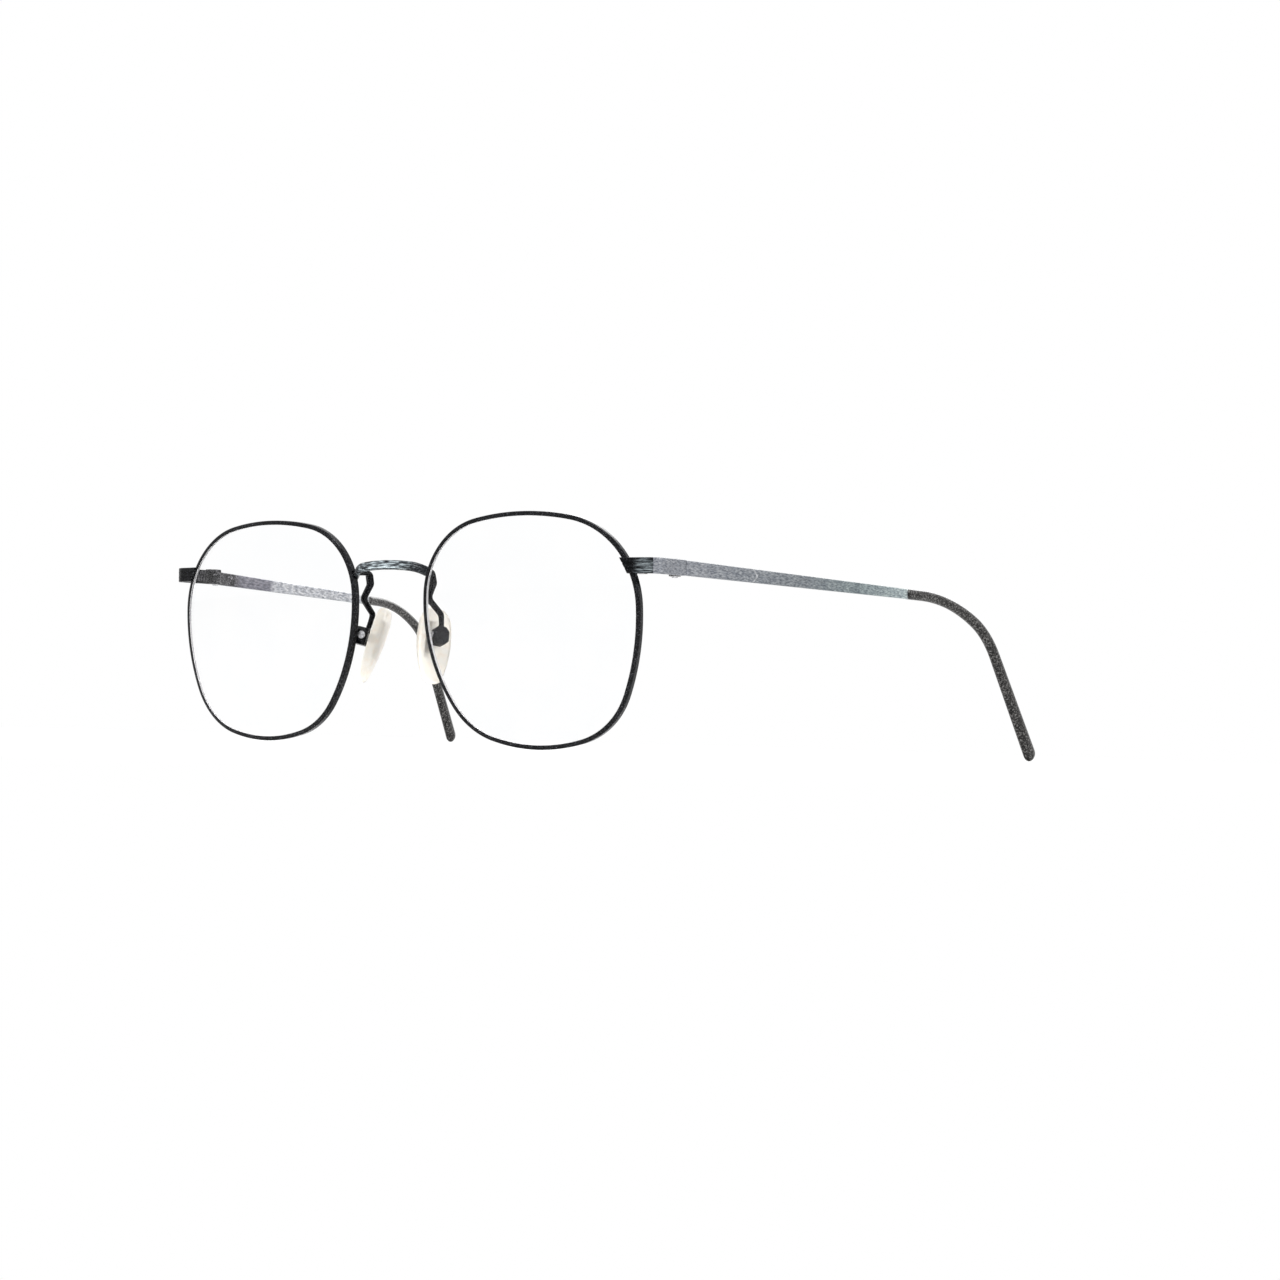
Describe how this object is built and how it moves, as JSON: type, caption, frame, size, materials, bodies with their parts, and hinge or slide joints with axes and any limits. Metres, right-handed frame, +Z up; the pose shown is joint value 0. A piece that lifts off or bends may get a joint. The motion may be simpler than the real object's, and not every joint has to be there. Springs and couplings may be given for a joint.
{
  "type": "eyeglass frame",
  "caption": "Full-rim metal eyeglass frame with round-square rims, clear lenses, an arched reeded bridge, folding temples with plastic tips, and rocking nose pads.",
  "frame": {"origin": "centre of the base on which the open frame stands, under the middle of its overall box", "axes": "+X to the wearer's left, -Y is the front of the frame and +Y runs back along the temples, +Z up"},
  "size_m": [0.1752, 0.141, 0.0472],
  "materials": {
    "front_lacquer": "blue-black lacquer over brushed metal, fine speckle, teal sheen on the reeds",
    "temple_metal": "steel blue-grey, brushed lengthwise, mottled",
    "fitting_metal": "dark plated metal",
    "screw_steel": "bright turned steel",
    "core_metal": "tarnished brass",
    "pad_soft": "translucent yellowed soft plastic",
    "lens_clear": "clear, polished",
    "tip_plastic": "gloss black with a soft sheen"
  },
  "bodies": {
    "front": {"bridge": "front_lacquer", "rim_left": "front_lacquer", "lens_left": "lens_clear", "end_piece_left": "front_lacquer", "closing_block_upper_left": "fitting_metal", "closing_block_lower_left": "fitting_metal", "closing_screw_left": "screw_steel", "front_hinge_left": "fitting_metal", "hinge_screw_left": "screw_steel", "pad_arm_left": "front_lacquer", "pad_box_left": "front_lacquer", "pad_screw_left": "screw_steel", "rim_right": "front_lacquer", "lens_right": "lens_clear", "end_piece_right": "front_lacquer", "closing_block_upper_right": "fitting_metal", "closing_block_lower_right": "fitting_metal", "closing_screw_right": "screw_steel", "front_hinge_right": "fitting_metal", "hinge_screw_right": "screw_steel", "pad_arm_right": "front_lacquer", "pad_box_right": "front_lacquer", "pad_screw_right": "screw_steel"},
    "temple_left": {"temple_left": "temple_metal", "temple_tip_left": "tip_plastic", "temple_hinge_left": "fitting_metal"},
    "temple_right": {"temple_right": "temple_metal", "temple_tip_right": "tip_plastic", "temple_hinge_right": "fitting_metal"},
    "pad_left": {"nose_pad_left": "pad_soft", "pad_core_left": "core_metal"},
    "pad_right": {"nose_pad_right": "pad_soft", "pad_core_right": "core_metal"}
  },
  "joints": [
    {"name": "temple_left_fold", "type": "hinge", "parent": "front", "child": "temple_left", "pos_m": [0.06053, -0.0547, 0.03647], "axis": [0, 0, 1], "range_deg": [0, 101]},
    {"name": "temple_right_fold", "type": "hinge", "parent": "front", "child": "temple_right", "pos_m": [-0.06053, -0.0547, 0.03647], "axis": [0, 0, -1], "range_deg": [0, 96]},
    {"name": "pad_left_rock", "type": "hinge", "parent": "front", "child": "pad_left", "pos_m": [0.01028, -0.06349, 0.02254], "axis": [0.4692, 0.8678, -0.1634], "range_deg": [-10, 8]},
    {"name": "pad_right_rock", "type": "hinge", "parent": "front", "child": "pad_right", "pos_m": [-0.01028, -0.06349, 0.02254], "axis": [0.4692, -0.8678, 0.1634], "range_deg": [-10, 8]}
  ]
}
